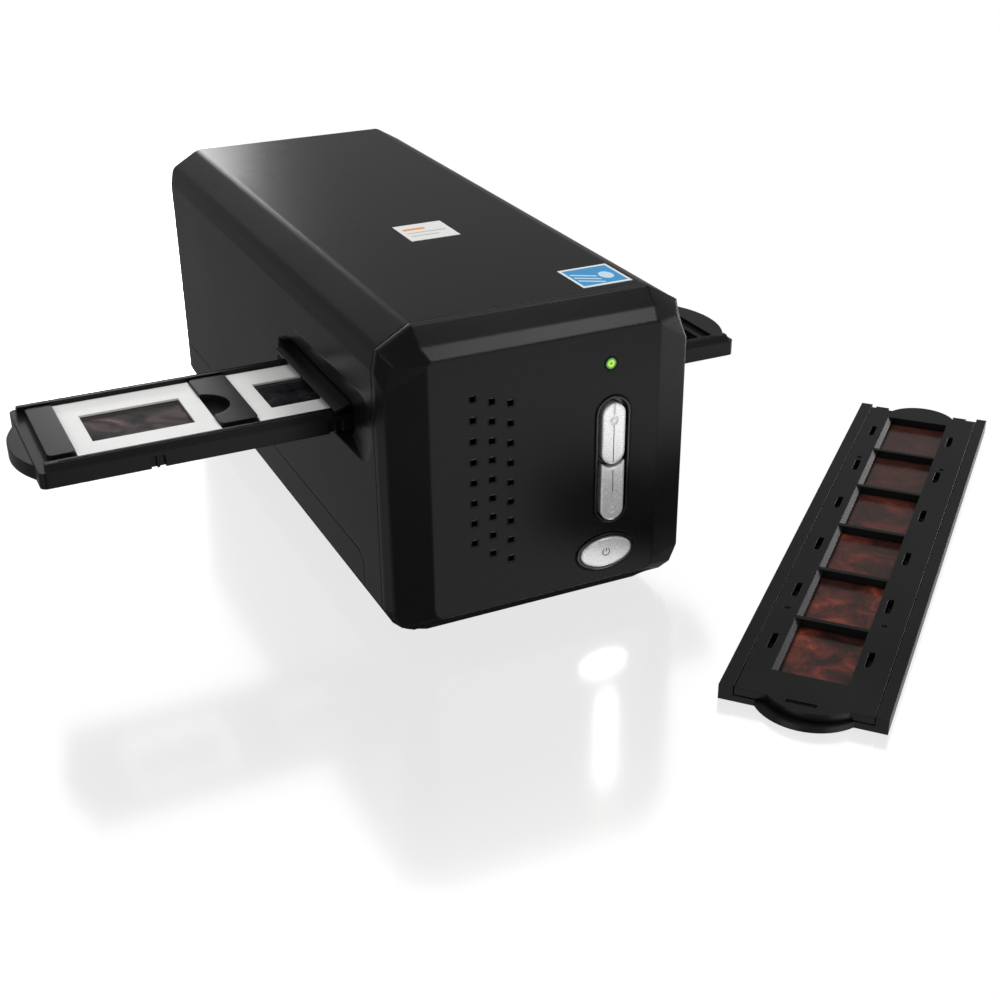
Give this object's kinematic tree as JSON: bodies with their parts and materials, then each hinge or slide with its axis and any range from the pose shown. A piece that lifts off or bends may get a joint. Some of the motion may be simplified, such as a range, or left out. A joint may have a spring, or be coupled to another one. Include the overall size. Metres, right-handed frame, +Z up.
{
  "type": "film negative scanner",
  "caption": "Desktop scanner for 35 mm film: black box body with a cross slot, dust flaps, front buttons, a slide holder in the slot and a loose hinged strip holder.",
  "frame": {"origin": "on the table plane under the middle of the box that holds the scanner, its slide holder and the strip holder beside it", "axes": "+X to the right and +Y to the rear seen from the front with the buttons, +Z up"},
  "size_m": [0.4238, 0.379, 0.1186],
  "materials": {
    "case_black": "fine satin grain",
    "gloss_black": "polished",
    "holder_black": "fine matte grain",
    "silver_plastic": "satin silver lacquer",
    "green_lens": "clear green",
    "white_label": "printed film",
    "blue_label": "printed film",
    "white_mount": "smooth",
    "film": "gloss film",
    "rubber": "matte",
    "steel": "zinc plated",
    "brass": "turned",
    "board_green": "solder resist",
    "chip_black": "moulded",
    "grey_plastic": "moulded",
    "white_plastic": "moulded",
    "glass": "polished",
    "mirror": "front-silvered",
    "motor_metal": "drawn can",
    "sheet_steel": "zinc plated",
    "belt_rubber": "ribbed",
    "cable_white": "flat cable"
  },
  "bodies": {
    "housing": {"base_tray": "case_black", "top_cover": "case_black", "front_bezel": "case_black", "rear_panel": "case_black", "rubber_feet": "rubber", "case_screws": "steel", "plain_label": "white_label", "blue_label": "blue_label", "button_surround": "gloss_black", "power_button_ring": "gloss_black", "status_lens": "green_lens", "key_board": "board_green", "key_switches": "chip_black", "status_led": "green_lens", "board_screws": "steel", "steel_pins": "steel", "optics_chassis": "grey_plastic", "chassis_screws": "steel", "holder_track": "grey_plastic", "detent_spring": "steel", "guide_rods": "steel", "stepper_motor": "motor_metal", "motor_bracket": "sheet_steel", "motor_screws": "steel", "idler_bracket": "grey_plastic", "idler_spring": "steel", "timing_belt": "belt_rubber", "main_board": "board_green", "board_chips": "chip_black", "data_socket": "sheet_steel", "power_socket": "chip_black", "key_cable": "cable_white"},
    "scan_carriage_body": {"scan_carriage": "grey_plastic", "carriage_bushings": "brass", "lamp_arm": "grey_plastic", "lamp_housing": "grey_plastic", "lamp_led_bar": "white_plastic", "lamp_diffuser": "white_plastic", "scan_mirror": "mirror", "lens_barrel": "grey_plastic", "lens_elements": "glass", "sensor_board": "board_green", "image_sensor": "chip_black", "carriage_screws": "steel", "belt_clamp": "grey_plastic", "carriage_cable": "cable_white"},
    "pinion_body": {"motor_pinion": "brass"},
    "pulley_body": {"drive_pulley": "white_plastic"},
    "idler_body": {"idler_pulley": "white_plastic"},
    "upper_button_body": {"upper_scan_button": "silver_plastic"},
    "lower_button_body": {"lower_scan_button": "silver_plastic"},
    "power_button_body": {"power_button": "silver_plastic"},
    "left_flap_body": {"left_dust_flap": "holder_black"},
    "right_flap_body": {"right_dust_flap": "holder_black"},
    "slide_holder_body": {"slide_holder": "holder_black", "slide_mounts": "white_mount", "slide_films": "film"},
    "strip_base_body": {"strip_holder_base": "holder_black", "film_strip": "film"},
    "strip_lid_body": {"strip_holder_lid": "holder_black"}
  },
  "joints": [
    {"name": "carriage_travel", "type": "slide", "parent": "housing", "child": "scan_carriage_body", "axis": [0, 1, 0], "range_m": [-0.013, 0.02], "deforming": ["carriage_cable"]},
    {"name": "pulley_spin", "type": "hinge", "parent": "housing", "child": "pulley_body", "pos_m": [-0.05389, 0.15948, 0.02], "axis": [1, 0, 0], "range_deg": [-210, 138]},
    {"name": "pinion_spin", "type": "hinge", "parent": "housing", "child": "pinion_body", "pos_m": [-0.04888, 0.16908, 0.024], "axis": [1, 0, 0], "range_deg": [-455, 698]},
    {"name": "idler_spin", "type": "hinge", "parent": "housing", "child": "idler_body", "pos_m": [-0.05389, -0.03653, 0.02], "axis": [1, 0, 0], "range_deg": [-210, 138]},
    {"name": "upper_scan_press", "type": "slide", "parent": "housing", "child": "upper_button_body", "axis": [0, 1, 0], "range_m": [0, 0.0008], "stiffness_N_per_m": 800, "springref_m": -0.001},
    {"name": "lower_scan_press", "type": "slide", "parent": "housing", "child": "lower_button_body", "axis": [0, 1, 0], "range_m": [0, 0.0008], "stiffness_N_per_m": 800, "springref_m": -0.001},
    {"name": "power_press", "type": "slide", "parent": "housing", "child": "power_button_body", "axis": [0, 1, 0], "range_m": [0, 0.0008], "stiffness_N_per_m": 800, "springref_m": -0.001},
    {"name": "left_flap_lift", "type": "hinge", "parent": "housing", "child": "left_flap_body", "pos_m": [-0.09338, 0.00187, 0.0798], "axis": [0, 1, 0], "range_deg": [0, 8]},
    {"name": "right_flap_lift", "type": "hinge", "parent": "housing", "child": "right_flap_body", "pos_m": [0.00562, 0.00187, 0.0798], "axis": [0, -1, 0], "range_deg": [0, 8]},
    {"name": "holder_travel", "type": "slide", "parent": "housing", "child": "slide_holder_body", "axis": [1, 0, 0], "range_m": [-0.18, 0.23]},
    {"name": "strip_holder_lift", "type": "slide", "parent": "housing", "child": "strip_base_body", "axis": [0, 0, 1], "range_m": [0, 0.12]},
    {"name": "strip_lid_hinge", "type": "hinge", "parent": "strip_base_body", "child": "strip_lid_body", "pos_m": [0.19144, -0.00067, 0.0041], "axis": [-0.6674, 0.7447, 0], "range_deg": [0, 100]}
  ],
  "couplings": [
    {"joint": "pulley_spin", "follows": "carriage_travel", "rad_per_m": -181.82},
    {"joint": "idler_spin", "follows": "carriage_travel", "rad_per_m": -181.82},
    {"joint": "pinion_spin", "follows": "carriage_travel", "rad_per_m": 606.06}
  ]
}
